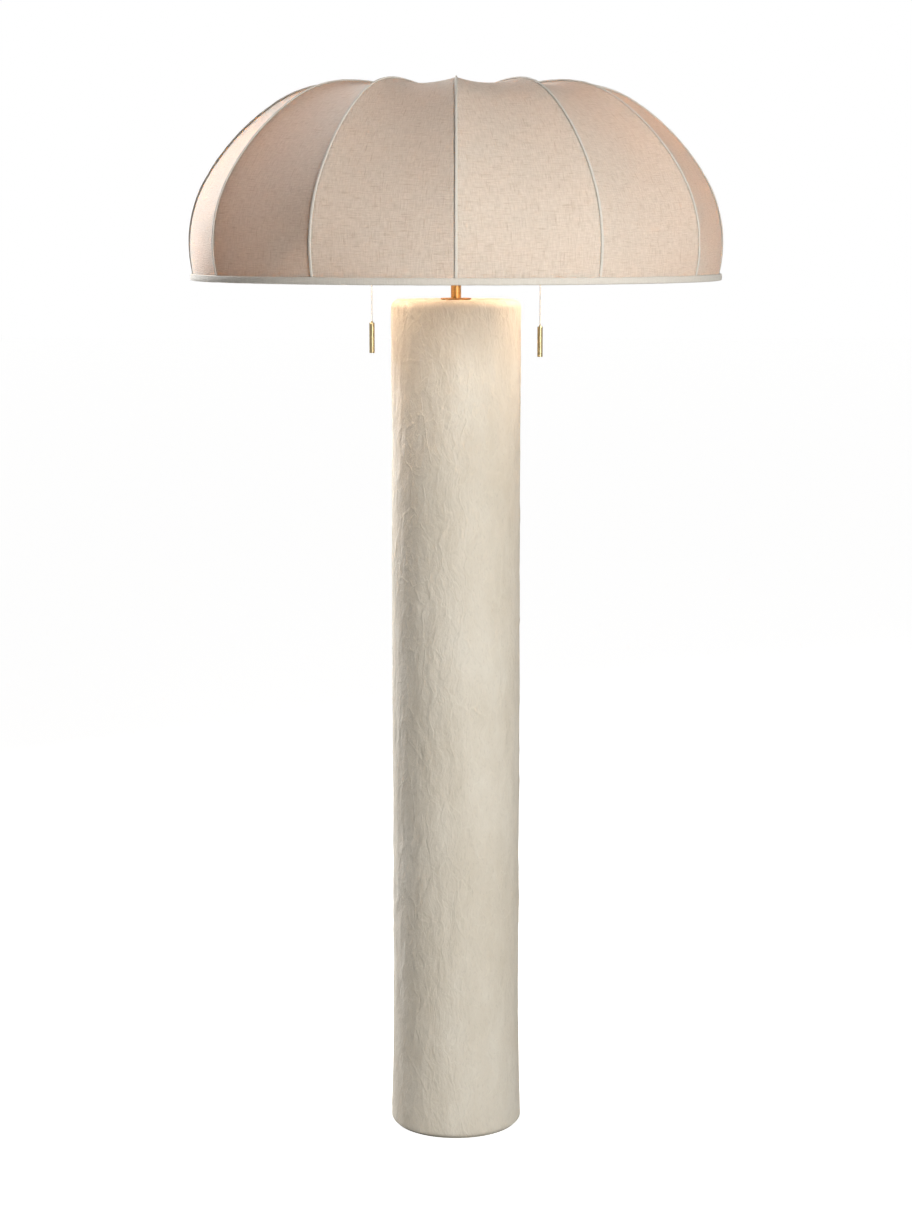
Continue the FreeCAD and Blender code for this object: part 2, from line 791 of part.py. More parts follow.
def crown_trim():
    """The binding round the crown: over the linen's inner edge and down inside the crown ring."""
    turn = rib_arcs()[0][3]
    a = math.radians(turn)
    r, z = rib_point(turn)
    chord = crown_radius * (1 - math.cos(half_step))
    lift = chord * abs(math.sin(a)) + soft_gap
    inside = -max(chord, crown_wire_radius) - soft_gap
    thick = crown_trim_thickness

    def place(along, out):
        return (r + along * math.cos(a) + out * math.sin(a), z - along * math.sin(a) + out * math.cos(a))

    return turned(place(crown_trim_width, lift), [
        place(crown_trim_width, lift + thick),
        place(inside - thick, lift + thick),
        place(inside - thick, -crown_trim_depth),
        place(inside, -crown_trim_depth),
        place(inside, lift),
    ])


def make_shade():
    """The ribbed frame, the linen panels over it, and the bindings."""
    front = -90.0
    one_panel = panel()
    one_rib = rib()
    one_strip = piping()
    save("linen_panels", *[about_z(one_panel, front + rib_step * (k + 0.5)) for k in range(rib_count)])
    save("shade_ribs", *[about_z(one_rib, front + rib_step * k) for k in range(rib_count)])
    save("seam_piping", *[about_z(one_strip, front + rib_step * k) for k in range(rib_count)])
    r, z = rim_wire_centre()
    save("rim_ring", Part.makeTorus(r, rim_wire_radius, Vector(0, 0, z)))
    r, z = crown_wire_centre()
    save("crown_ring", Part.makeTorus(r, crown_wire_radius, Vector(0, 0, z)))
    save("rim_trim", rim_trim())
    save("crown_trim", crown_trim())


def make_fitter():
    """The spider that hangs the shade on the riser, and the finial that clamps it."""
    low = spider_height()
    top = low + spider_washer_thickness
    save("spider_washer", sleeve(spider_washer_radius, riser_tip_radius + soft_gap, low, top))
    ring_r, ring_z = crown_wire_centre()
    start = Vector(spider_washer_radius, 0, low + spider_washer_thickness / 2)
    end = Vector(ring_r, 0, ring_z - crown_wire_radius - soft_gap - spider_wire_radius)
    way = (end - start).normalize()
    start += way * (2 * soft_gap)
    wire = Part.makeCylinder(spider_wire_radius, (end - start).Length, start, way)
    save("spider_arms", *[about_z(wire, 360.0 / spider_count * k - 90) for k in range(spider_count)])
    neck = top + finial_base_height
    ball = neck + finial_neck_height
    centre = ball + math.sqrt(finial_ball_radius ** 2 - finial_neck_radius ** 2)
    start_angle = -math.degrees(math.acos(finial_neck_radius / finial_ball_radius))
    finial = turned((0, top), [
        (finial_base_radius, top),
        (finial_base_radius, neck),
        (finial_neck_radius, neck),
        (finial_neck_radius, ball),
        bend(0, centre, finial_ball_radius, start_angle, 90),
    ])
    bore = upright(riser_tip_radius + running_gap, top - 1, low + riser_tip_length + soft_gap)
    save("finial", finial.cut(bore))


os.makedirs("parts", exist_ok=True)
make_column()
make_cluster()
make_leads()
for name in ("left", "right"):
    make_socket(name)
    make_bulb(name)
make_shade()
make_fitter()
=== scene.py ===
import math

import bmesh
import bpy
import numpy as np
from mathutils import Matrix


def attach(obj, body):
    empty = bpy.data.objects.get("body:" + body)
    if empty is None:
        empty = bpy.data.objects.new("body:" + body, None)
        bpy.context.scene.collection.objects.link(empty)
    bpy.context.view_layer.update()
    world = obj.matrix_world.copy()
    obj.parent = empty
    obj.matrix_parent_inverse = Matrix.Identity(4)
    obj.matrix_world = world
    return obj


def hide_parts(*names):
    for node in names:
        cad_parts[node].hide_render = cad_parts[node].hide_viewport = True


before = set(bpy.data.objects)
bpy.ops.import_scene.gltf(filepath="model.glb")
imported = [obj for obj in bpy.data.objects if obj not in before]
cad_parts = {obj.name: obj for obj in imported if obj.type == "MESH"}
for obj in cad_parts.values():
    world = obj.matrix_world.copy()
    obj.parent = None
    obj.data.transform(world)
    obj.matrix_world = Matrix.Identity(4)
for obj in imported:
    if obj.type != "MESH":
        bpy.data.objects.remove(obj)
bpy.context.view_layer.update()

# Metres, +Z up, the origin on the floor at the middle of the column, -Y is the front.
MM = 0.001

# ---- sizes that the dressed pieces share with the solids ----
COLUMN_RADIUS = 99.7 * MM
COLUMN_HEIGHT = 1310 * MM
FOOT_RADIUS = 103.8 * MM
FLARE_HEIGHT = 180 * MM
FOOT_EDGE = 7 * MM
TOP_EDGE = 12 * MM
SKIN_LOW = 2 * MM
SKIN_INSIDE = 95.1 * MM
LID_LOW = 1304 * MM
PIPE_HOLE = 5.3 * MM
RING_RADIUS = 23.75 * MM
INLET_HEIGHT = 74 * MM
INLET_RADIUS = 7.1 * MM

RIBS = 12
HALF_STEP = math.pi / RIBS
# the rib line's four tangent arcs, crown to rim: centre r, centre z, radius, start and end, where the
# angle is that of the line's outward normal from +Z
RIB_ARCS = (
    (179.69 * MM, 1260.09 * MM, 375.31 * MM, math.radians(-21.03), 0.0),
    (179.69 * MM, 1465.0 * MM, 170.4 * MM, 0.0, math.radians(33.0)),
    (86.44 * MM, 1321.42 * MM, 341.6 * MM, math.radians(33.0), math.radians(59.7)),
    (211.38 * MM, 1394.42 * MM, 196.9 * MM, math.radians(59.7), math.radians(105.2)),
)
CREST_SAG = 7.5 * MM
RIM_RADIUS = 401.39 * MM
SHADE_RADIUS = 406.4 * MM
RIM_HEIGHT = 1340 * MM
TRIM_HEIGHT = 10 * MM
TAPE_HALF = 2.1 * MM
TAPE_RISE = 1.5 * MM
TAPE_UNDER = 0.12 * MM
TAPE_LIFT = 0.35 * MM
# the shade's one layer of cloth lies this far inside the solid panels' outer faces
CLOTH_INSET = 0.4 * MM
CHAIN_REACH = 129.5 * MM
CHAIN_TOP = 1413.6 * MM
CHAIN_DROP = {"left": 136.6 * MM, "right": 142.6 * MM}
CHAIN_BALL = 1.2 * MM
CHAIN_PITCH = 3.3 * MM
CHAIN_WIRE = 0.35 * MM

# ---- how finely the dressed pieces are drawn ----
COLUMN_SIDES = 288
RIB_ROWS = 150
PANEL_COLUMNS = 28
# each panel's cloth is cut from its own part of the bolt, this far across and along from the last
CUT_ACROSS = 0.31
CUT_ALONG = 0.07

# ---- light ----
BULB_LIGHT = 72.0
BULB_SEEN = 0.45
MIRRORED_SHARE = 0.7
FLOOR_REACH = 30.0

# ---------------------------------------------------------------- camera

eye = bpy.data.cameras.new("camera")
eye.sensor_width = 36
eye.lens = 75.16
camera = bpy.data.objects.new("camera", eye)
camera.location = (0, -3.9318, 1.4151)
camera.rotation_euler = (math.radians(90 - 8.46), 0, 0)
bpy.context.scene.collection.objects.link(camera)
bpy.context.scene.camera = camera
bpy.context.scene.view_settings.view_transform = "Standard"


# ---------------------------------------------------------------- mesh helpers

def lumps(points, cell, seed):
    """Smooth noise from -1 to 1: a random value at each corner of a lattice of cubes, eased from
    corner to corner by 3t^2 - 2t^3 along each axis."""
    q = points / cell
    low = np.floor(q).astype(np.int64)
    t = q - low
    t = t * t * (3 - 2 * t)
    total = np.zeros(points.shape[:-1])
    for corner in np.ndindex(2, 2, 2):
        k = low + np.array(corner)
        h = (k[..., 0] * 73856093) ^ (k[..., 1] * 19349663) ^ (k[..., 2] * 83492791) ^ (seed * 97531)
        h = ((h ^ (h >> 15)) * 2246822519) & 0xFFFFFFFF
        h = ((h ^ (h >> 13)) * 3266489917) & 0xFFFFFFFF
        value = (h >> 8 & 0xFFFF) / 32767.5 - 1
        total += value * np.prod(np.where(np.array(corner), t, 1 - t), axis=-1)
    return total


def ridges(points, cell, width, seed):
    """Thin raised lines, 0 to 1: one minus how far the noise is from zero, over a width, squared."""
    return np.clip(1 - np.abs(lumps(points, cell, seed)) / width, 0, 1) ** 2


def grid_faces(rows, columns, round_rows, round_columns):
    """Four-sided faces of a grid of points, joined at its ends where a direction is round."""
    i, j = np.meshgrid(np.arange(rows if round_rows else rows - 1),
                       np.arange(columns if round_columns else columns - 1), indexing="ij")
    i, j = i.ravel(), j.ravel()
    i2, j2 = (i + 1) % rows, (j + 1) % columns
    return np.stack([i * columns + j, i * columns + j2, i2 * columns + j2, i2 * columns + j], axis=-1)


def piece(name, points, faces, material, uv=None):
    """A smooth mesh object from points and faces of one size, with a UV map where points have one."""
    points = np.asarray(points, dtype=float).reshape(-1, 3)
    mesh = bpy.data.meshes.new(name)
    mesh.vertices.add(len(points))
    mesh.vertices.foreach_set("co", points.ravel())
    mesh.loops.add(faces.size)
    mesh.loops.foreach_set("vertex_index", faces.ravel().astype(np.int32))
    mesh.polygons.add(len(faces))
    mesh.polygons.foreach_set("loop_start", np.arange(0, faces.size, faces.shape[1], dtype=np.int32))
    mesh.polygons.foreach_set("use_smooth", np.ones(len(faces), dtype=bool))
    if uv is not None:
        layer = mesh.uv_layers.new(name="cloth")
        layer.data.foreach_set("uv", uv.reshape(-1, 2)[faces.ravel()].ravel())
    mesh.update(calc_edges=True)
    mesh.validate()
    mesh.materials.append(material)
    made = bpy.data.objects.new(name, mesh)
    bpy.context.scene.collection.objects.link(made)
    return made


def eased(corners, radius, steps=5):
    """A closed outline's points: each corner is rounded by an arc, drawn as a quadratic curve from a
    point one radius before the corner to one radius after it."""
    corners = np.array(corners)
    before = np.roll(corners, 1, axis=0) - corners
    after = np.roll(corners, -1, axis=0) - corners
    reach = np.minimum(radius, 0.45 * np.minimum(np.linalg.norm(before, axis=1),
                                                 np.linalg.norm(after, axis=1)))[:, None]
    first = corners + before / np.linalg.norm(before, axis=1)[:, None] * reach
    last = corners + after / np.linalg.norm(after, axis=1)[:, None] * reach
    t = np.linspace(0, 1, steps)[None, :, None]
    rounded = (1 - t) ** 2 * first[:, None] + 2 * t * (1 - t) * corners[:, None] + t ** 2 * last[:, None]
    return rounded.reshape(-1, 2)


def spun(outline, count):
    """Points of a closed (r, z) outline turned about Z, as a grid of outline by angle."""
    a = np.linspace(0, 2 * math.pi, count, endpoint=False)
    r, z = outline[:, 0, None], outline[:, 1, None]
    return np.stack([r * np.cos(a), r * np.sin(a), z + 0 * a], axis=-1)


def outward(outline):
    """Unit normals of a closed (r, z) outline that runs clockwise seen with r to the right, z up: the
    way from the point before to the point after, turned by a quarter."""
    along = np.roll(outline, -1, axis=0) - np.roll(outline, 1, axis=0)
    along /= np.maximum(np.linalg.norm(along, axis=1), 1e-9)[:, None]
    return np.stack([-along[:, 1], along[:, 0]], axis=-1)


def spun_normals(outline, count):
    """The unit normals of a closed (r, z) outline, turned about Z like its points."""
    a = np.linspace(0, 2 * math.pi, count, endpoint=False)
    normal = outward(outline)
    return np.stack([normal[:, 0, None] * np.cos(a), normal[:, 0, None] * np.sin(a),
                     normal[:, 1, None] + 0 * a], axis=-1)


# ---------------------------------------------------------------- materials

def linear(code):
    """An sRGB hex colour as linear red, green, blue and 1."""
    s = [int(code[k:k + 2], 16) / 255 for k in (1, 3, 5)]
    return tuple(v / 12.92 if v <= 0.04045 else ((v + 0.055) / 1.055) ** 2.4 for v in s) + (1.0,)


def add(tree, kind, settings=None, links=None):
    """One shader node. A lower-case setting is the node's own option, another is a socket's value;
    stops are a colour ramp's places and colours."""
    made = tree.nodes.new("ShaderNode" + kind)
    for key, value in (settings or {}).items():
        if key == "stops":
            while len(made.color_ramp.elements) < len(value):
                made.color_ramp.elements.new(0.5)
            for stop, (place, shade) in zip(made.color_ramp.elements, value):
                stop.position = place
                stop.color = linear(shade) if isinstance(shade, str) else (shade, shade, shade, 1)
        elif isinstance(key, str) and key[0].islower():
            setattr(made, key, value)
        else:
            made.inputs[key].default_value = linear(value) if isinstance(value, str) else value
    for key, source in (links or {}).items():
        tree.links.new(source, made.inputs[key])
    return made


def finish_of(name, colour, roughness, **sockets):
    """A material that starts as one Principled surface; further sockets by their names."""
    made = bpy.data.materials.new(name)
    made.use_nodes = True
    tree = made.node_tree
    tree.nodes.clear()
    values = {"Base Color": colour, "Roughness": roughness}
    values.update({key.replace("_", " "): value for key, value in sockets.items()})
    shader = add(tree, "BsdfPrincipled", values)
    add(tree, "OutputMaterial", {}, {"Surface": shader.outputs[0]})
    return made, tree, shader


def worked(name, dark, light, roughness, spread, stretch, grain, relief, **sockets):
    """A material whose colour and roughness drift between two ends, with a grain in relief.

    stretch scales the grain's directions, grain is its size and relief its depth, in metres.
    """
    made, tree, shader = finish_of(name, light, roughness, **sockets)
    place = add(tree, "TexCoord").outputs["Object"]
    turned = add(tree, "Mapping", {"Scale": stretch}, {"Vector": place}).outputs[0]
    fine = add(tree, "TexNoise", {"Scale": 1 / grain, "Detail": 4.0}, {"Vector": turned}).outputs[0]
    broad = add(tree, "TexNoise", {"Scale": 0.12 / grain, "Detail": 3.0}, {"Vector": turned}).outputs[0]
    both = add(tree, "Mix", {0: 0.45}, {2: fine, 3: broad}).outputs[0]
    ramp = add(tree, "ValToRGB", {"stops": ((0.32, dark), (0.68, light))}, {0: both}).outputs[0]
    tree.links.new(ramp, shader.inputs["Base Color"])
    rough = add(tree, "MapRange", {"From Min": 0.3, "From Max": 0.7, "To Min": roughness - spread,
                                   "To Max": roughness + spread}, {0: both}).outputs[0]
    tree.links.new(rough, shader.inputs["Roughness"])
    bump = add(tree, "Bump", {"Strength": 1.0, "Distance": relief}, {"Height": fine}).outputs[0]
    tree.links.new(bump, shader.inputs["Normal"])
    return made


def papier_mache():
    """Torn paper laid in paste, sealed and left matt: cream, crumpled and creased, with fibres in it."""
    made, tree, shader = finish_of("papier_mache_sealed_matt", "#DED7C9", 0.62)
    place = add(tree, "TexCoord").outputs["Object"]
    # strips of torn paper run mostly up the column, so the pattern is drawn out along Z
    warp = add(tree, "TexNoise", {"Scale": 14.0, "Detail": 3.0}, {"Vector": place}).outputs["Color"]
    shift = add(tree, "MixRGB", {"blend_type": "ADD", 0: 0.035}, {1: place, 2: warp}).outputs[0]
    tall = add(tree, "Mapping", {"Scale": (1.0, 1.0, 0.38)}, {"Vector": shift}).outputs[0]
    # small creases, about 11 mm apart, and large ones, about 34 mm apart
    crease = add(tree, "TexVoronoi", {"feature": "DISTANCE_TO_EDGE", "Scale": 1 / 0.011, "Randomness": 1.0},
                 {"Vector": tall}).outputs["Distance"]
    crease = add(tree, "MapRange", {"From Max": 0.09, "To Min": 1.0, "To Max": 0.0}, {0: crease}).outputs[0]
    big = add(tree, "TexVoronoi", {"feature": "DISTANCE_TO_EDGE", "Scale": 1 / 0.034, "Randomness": 1.0},
              {"Vector": tall}).outputs["Distance"]
    big = add(tree, "MapRange", {"From Max": 0.05, "To Min": 1.0, "To Max": 0.0}, {0: big}).outputs[0]
    # not every small crease stands up: the noise lets through about half of them
    some = add(tree, "TexNoise", {"Scale": 34.0, "Detail": 2.0}, {"Vector": place}).outputs[0]
    some = add(tree, "MapRange", {"From Min": 0.42, "From Max": 0.62}, {0: some}).outputs[0]
    crease = add(tree, "Math", {"operation": "MULTIPLY"}, {0: crease, 1: some}).outputs[0]
    # fibres and grit, drawn 3 mm wide so that they show, and crumples of about 13 mm
    grit = add(tree, "TexNoise", {"Scale": 1 / 0.0032, "Detail": 5.0, "Roughness": 0.62},
               {"Vector": tall}).outputs[0]
    pulp = add(tree, "TexNoise", {"Scale": 1 / 0.013, "Detail": 4.0}, {"Vector": tall}).outputs[0]
    height = add(tree, "Math", {"operation": "MULTIPLY_ADD", 1: 0.30}, {0: crease, 2: grit}).outputs[0]
    height = add(tree, "Math", {"operation": "MULTIPLY_ADD", 1: 0.34}, {0: big, 2: height}).outputs[0]
    height = add(tree, "Math", {"operation": "MULTIPLY_ADD", 1: 2.6}, {0: pulp, 2: height}).outputs[0]
    bump = add(tree, "Bump", {"Strength": 0.8, "Distance": 0.0011}, {"Height": height}).outputs[0]
    tree.links.new(bump, shader.inputs["Normal"])
    # paste and paper vary in colour, darker in the grit
    mottle = add(tree, "TexNoise", {"Scale": 11.0, "Detail": 5.0, "Roughness": 0.6},
                 {"Vector": tall}).outputs[0]
    paper = add(tree, "ValToRGB", {"stops": ((0.3, "#D4CBBB"), (0.52, "#DED6C8"), (0.75, "#E7E1D5"))},
                {0: mottle}).outputs[0]
    speck = add(tree, "MapRange", {"From Min": 0.30, "From Max": 0.46, "To Min": 0.91, "To Max": 1.0},
                {0: grit}).outputs[0]
    paper = add(tree, "Mix", {"data_type": "RGBA", "blend_type": "MULTIPLY", 0: 1.0},
                {6: paper, 7: speck}).outputs[2]
    edge = add(tree, "Math", {"operation": "MULTIPLY", 1: 0.22}, {0: crease}).outputs[0]
    paper = add(tree, "Mix", {"data_type": "RGBA", 7: "#EFEADC"}, {0: edge, 6: paper}).outputs[2]
    tree.links.new(paper, shader.inputs["Base Color"])
    rough = add(tree, "MapRange", {"From Min": 0.3, "From Max": 0.7, "To Min": 0.52, "To Max": 0.78},
                {0: pulp}).outputs[0]
    tree.links.new(rough, shader.inputs["Roughness"])
    return made


def slub_linen(name, light, dark, slubs, through, glow):
    """Plain-weave linen with slubs, washed: uneven thicker threads both ways; it may let light through.

    The cloth's own map is in metres, across the panel and along the rib. Threads are about 0.8 mm in
    the real cloth, and are drawn 1.7 mm wide here so that they show. slubs says how far the thick
    stretches stand out, through how much light passes, and glow its tint.
    """
    made, tree, shader = finish_of(name, light, 0.88, Sheen_Weight=0.15, Sheen_Roughness=0.5)
    cloth = add(tree, "UVMap", {"uv_map": "cloth"}).outputs[0]
    across = add(tree, "Mapping", {"Scale": (1 / 0.0017, 1 / 0.013, 1.0)}, {"Vector": cloth}).outputs[0]
    along = add(tree, "Mapping", {"Scale": (1 / 0.013, 1 / 0.0017, 1.0)}, {"Vector": cloth}).outputs[0]
    uneven = {"Scale": 1.0, "Detail": 2.0, "Roughness": 0.6}
    warp = add(tree, "TexNoise", uneven, {"Vector": across}).outputs[0]
    weft = add(tree, "TexNoise", uneven, {"Vector": along}).outputs[0]
    thread = add(tree, "Math", {"operation": "ADD"}, {0: warp, 1: weft}).outputs[0]
    # single slubs: only the thickest stretches of a thread
    slub_up = add(tree, "Mapping", {"Scale": (1 / 0.0026, 1 / 0.024, 1.0)}, {"Vector": cloth}).outputs[0]
    slub_on = add(tree, "Mapping", {"Scale": (1 / 0.024, 1 / 0.0026, 1.0)}, {"Vector": cloth}).outputs[0]
    slub_up = add(tree, "TexNoise", {"Scale": 1.0, "Detail": 1.0}, {"Vector": slub_up}).outputs[0]
    slub_on = add(tree, "TexNoise", {"Scale": 1.0, "Detail": 1.0}, {"Vector": slub_on}).outputs[0]
    slub = add(tree, "Math", {"operation": "MAXIMUM"}, {0: slub_up, 1: slub_on}).outputs[0]
    slub = add(tree, "MapRange", {"From Min": 0.62, "From Max": 0.74}, {0: slub}).outputs[0]
    tone = add(tree, "ValToRGB", {"stops": ((0.36, dark), (0.64, light))},
               {0: add(tree, "Math", {"operation": "MULTIPLY", 1: 0.5}, {0: thread}).outputs[0]}).outputs[0]
    thick = add(tree, "Math", {"operation": "MULTIPLY", 1: slubs}, {0: slub}).outputs[0]
    tone = add(tree, "Mix", {"data_type": "RGBA", "blend_type": "MULTIPLY", 7: "#DCD0C0"},
               {0: thick, 6: tone}).outputs[2]
    tree.links.new(tone, shader.inputs["Base Color"])
    height = add(tree, "Math", {"operation": "MULTIPLY_ADD", 1: 0.8}, {0: thick, 2: thread}).outputs[0]
    bump = add(tree, "Bump", {"Strength": 1.0, "Distance": 0.0009}, {"Height": height}).outputs[0]
    tree.links.new(bump, shader.inputs["Normal"])
    if through:
        # light that comes through is dimmed again by every thick thread
        lit = add(tree, "Mix", {"data_type": "RGBA", "blend_type": "MULTIPLY", 0: 1.0},
                  {6: tone, 7: tone}).outputs[2]
        lit = add(tree, "Mix", {"data_type": "RGBA", "blend_type": "MULTIPLY", 0: 1.0, 7: glow},
                  {6: lit}).outputs[2]
        back = add(tree, "BsdfTranslucent", {}, {"Color": lit, "Normal": bump}).outputs[0]
        mixed = add(tree, "MixShader", {0: through}, {1: shader.outputs[0], 2: back}).outputs[0]
        out = next(n for n in tree.nodes if n.type == "OUTPUT_MATERIAL")
        tree.links.new(mixed, out.inputs["Surface"])
    return made


def glowing_glass():
    """Frosted lamp glass, lit from within: warm white, paler where the frosting is thick.

    It sheds its full light on the lamp, and looks dimmer to the eye, so that its shape shows.
    """
    made, tree, shader = finish_of("frosted_glass_lit", "#F2E0C4", 0.45)
    place = add(tree, "TexCoord").outputs["Object"]
    frost = add(tree, "TexNoise", {"Scale": 160.0, "Detail": 3.0}, {"Vector": place}).outputs[0]
    warm = add(tree, "ValToRGB", {"stops": ((0.3, "#FFDDBA"), (0.7, "#FFE6CC"))}, {0: frost}).outputs[0]
    tree.links.new(warm, shader.inputs["Emission Color"])
    seen = add(tree, "LightPath").outputs["Is Camera Ray"]
    power = add(tree, "MapRange", {"To Min": BULB_LIGHT, "To Max": BULB_SEEN}, {0: seen}).outputs[0]
    tree.links.new(power, shader.inputs["Emission Strength"])
    return made


def brushed(name, dark, light, roughness, stretch):
    """Metal finished with a fine abrasive: thin lines along the way it was brushed."""
    return worked(name, dark, light, roughness, 0.09, stretch, 0.0012, 0.00004, Metallic=1.0)


WAY_ROUND = (0.6, 0.6, 8.0)     # lines round an upright piece: fine along Z
WAY_UP = (8.0, 8.0, 0.5)        # lines along an upright piece
PLAIN = (1.0, 1.0, 1.0)

paper = papier_mache()
linen = slub_linen("slub_linen_plain_weave", "#EBE4D9", "#D9CFC1", 0.4, 0.12, "#FFAE44")
tape = slub_linen("linen_bias_tape_folded", "#E4DED5", "#DBD4CA", 0.0, 0.0, "#FFFFFF")
lamp_glass = glowing_glass()
satin_brass = brushed("brass_satin_brushed", "#A97A42", "#CFA066", 0.34, WAY_ROUND)
old_brass = brushed("brass_antiqued_waxed", "#83765A", "#C6B68E", 0.3, WAY_UP)
plain_brass = brushed("brass_sheet_plain", "#A67F46", "#C79E60", 0.28, PLAIN)
nickel = brushed("nickel_plated_bright", "#BDBAB2", "#DAD8D2", 0.2, PLAIN)
aluminium = brushed("aluminium_rolled_thread", "#A9ABAE", "#CFD0D2", 0.3, WAY_ROUND)
zinc = worked("steel_zinc_plated", "#8E9296", "#B9BCBE", 0.38, 0.1, PLAIN, 0.004, 0.00005, Metallic=1.0)
iron = worked("iron_sand_cast", "#1E1F21", "#34353A", 0.72, 0.12, PLAIN, 0.0016, 0.0004)
felt = worked("wool_felt_pressed", "#9E988B", "#B8B2A5", 0.95, 0.04, PLAIN, 0.0011, 0.0003,
              Sheen_Weight=0.5)
board = worked("board_tube_spiral_wound", "#7E5F41", "#9F7F5B", 0.9, 0.05, (1.0, 1.0, 5.0), 0.004, 0.0002)
plywood = worked("birch_plywood_sawn", "#A9834F", "#D2B27F", 0.75, 0.08, (0.4, 0.4, 6.0), 0.005, 0.0001)
rubber = worked("rubber_moulded_cream", "#BFB6A2", "#CFC7B5", 0.6, 0.08, PLAIN, 0.002, 0.00005)
lead_cover = worked("silicone_lead_extruded", "#C6C0B2", "#DAD5C9", 0.45, 0.06, PLAIN, 0.003, 0.00003)
white_wire = worked("steel_wire_powder_coated", "#D9D6CC", "#ECEAE3", 0.42, 0.06, PLAIN, 0.0012, 0.00006)
fibre = worked("vulcanised_fibre_pressed", "#231B15", "#3A2F26", 0.8, 0.06, PLAIN, 0.002, 0.00008)
phenolic = worked("phenolic_moulded_black", "#100D0B", "#241E1A", 0.4, 0.06, PLAIN, 0.002, 0.00004)

NODE_FINISHES = {
    "felt_pad": felt, "base_weight": iron, "core_tube": board, "top_plug": plywood,
    "cord_grommet": rubber, "tie_pipe": zinc, "base_washer": zinc, "base_nut": zinc,
    "check_ring": satin_brass, "neck": satin_brass, "cluster_body": satin_brass,
    "cluster_cover": satin_brass, "pipe_nut": zinc, "riser_nuts": zinc, "riser_rod": zinc,
    "shade_rest": satin_brass, "socket_leads": lead_cover, "shade_ribs": white_wire,
    "rim_ring": white_wire, "crown_ring": white_wire, "spider_washer": white_wire,
    "spider_arms": white_wire, "finial": satin_brass,
}
for side in ("left", "right"):
    NODE_FINISHES.update({
        "arm_" + side: satin_brass, "socket_cap_" + side: satin_brass,
        "socket_shell_" + side: satin_brass, "socket_liner_" + side: fibre,
        "socket_block_" + side: phenolic, "screw_shell_" + side: nickel,
        "centre_contact_" + side: plain_brass, "bell_mouth_" + side: satin_brass,
        "switch_wheel_" + side: phenolic, "switch_chain_" + side: nickel, "pull_" + side: old_brass,
        "bulb_glass_" + side: lamp_glass, "bulb_screw_" + side: aluminium,
        "bulb_tip_" + side: plain_brass,
    })
for name, finish in NODE_FINISHES.items():
    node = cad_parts[name]
    if not node.material_slots:
        node.data.materials.append(finish)
    for slot in node.material_slots:
        slot.material = finish


# ---------------------------------------------------------------- pull chains, the only free cords

def smooth_line(route):
    """Points along the smooth line that a NURBS spline draws through its control points."""
    curve = bpy.data.curves.new("route", "CURVE")
    curve.dimensions = "3D"
    curve.resolution_u = 32
    spline = curve.splines.new("NURBS")
    spline.points.add(len(route) - 1)
    spline.points.foreach_set("co", np.c_[route, np.ones(len(route))].ravel())
    spline.order_u = 3
    spline.use_endpoint_u = True
    holder = bpy.data.objects.new("route", curve)
    mesh = bpy.data.meshes.new_from_object(holder)
    line = np.empty(len(mesh.vertices) * 3)
    mesh.vertices.foreach_get("co", line)
    bpy.data.objects.remove(holder)
    bpy.data.curves.remove(curve)
    bpy.data.meshes.remove(mesh)
    return line.reshape(-1, 3)


def ball_chain(name, line, ball, pitch, wire):
    """Balls on a fine wire: one small ball, copied to even places along the line, and a thin six-sided
    wire through them, closed at both ends."""
    sides = 6
    steps = np.linalg.norm(np.diff(line, axis=0), axis=1)
    run = np.concatenate([[0], np.cumsum(steps)])
    count = int(round((run[-1] - ball) / pitch)) + 1
    places = np.linspace(0, run[-1] - ball * 0.9, count)
    middles = np.stack([np.interp(places, run, line[:, k]) for k in range(3)], axis=-1)
    bm = bmesh.new()
    bmesh.ops.create_icosphere(bm, subdivisions=2, radius=ball)
    one = np.array([v.co[:] for v in bm.verts])
    tris = np.array([[v.index for v in f.verts] for f in bm.faces])
    bm.free()
    balls = middles[:, None] + one[None]
    ball_faces = tris[None] + (np.arange(count) * len(one))[:, None, None]
    a = np.linspace(0, 2 * math.pi, sides, endpoint=False)
    ring = np.stack([wire * np.cos(a), wire * np.sin(a), 0 * a], axis=-1)
    rods = line[[0, -1]][:, None] + ring[None]
    base = count * len(one)
    quads = grid_faces(2, sides, False, True)
    ends = np.array([(0, k + 1, k + 2) for k in range(sides - 2)])
    rod_faces = base + np.concatenate([quads[:, [0, 1, 2]], quads[:, [0, 2, 3]],
                                       ends[:, ::-1], ends + sides])
    return piece(name, np.concatenate([balls.reshape(-1, 3), rods.reshape(-1, 3)]),
                 np.concatenate([ball_faces.reshape(-1, 3), rod_faces[:, ::-1]]), nickel)


for side, way in (("left", -1), ("right", 1)):
    top = (way * CHAIN_REACH, 0.0, CHAIN_TOP)
    drop = CHAIN_DROP[side]
    route = np.array([(top[0], 0.0, CHAIN_TOP - drop * share) for share in (0.0, 0.35, 0.7, 1.0)])
    line = smooth_line(route)
    chain = ball_chain("ball_chain_" + side, line, CHAIN_BALL, CHAIN_PITCH, CHAIN_WIRE)
    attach(chain, "pull_" + side)
    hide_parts("pull_chain_" + side)


# ---------------------------------------------------------------- column skin

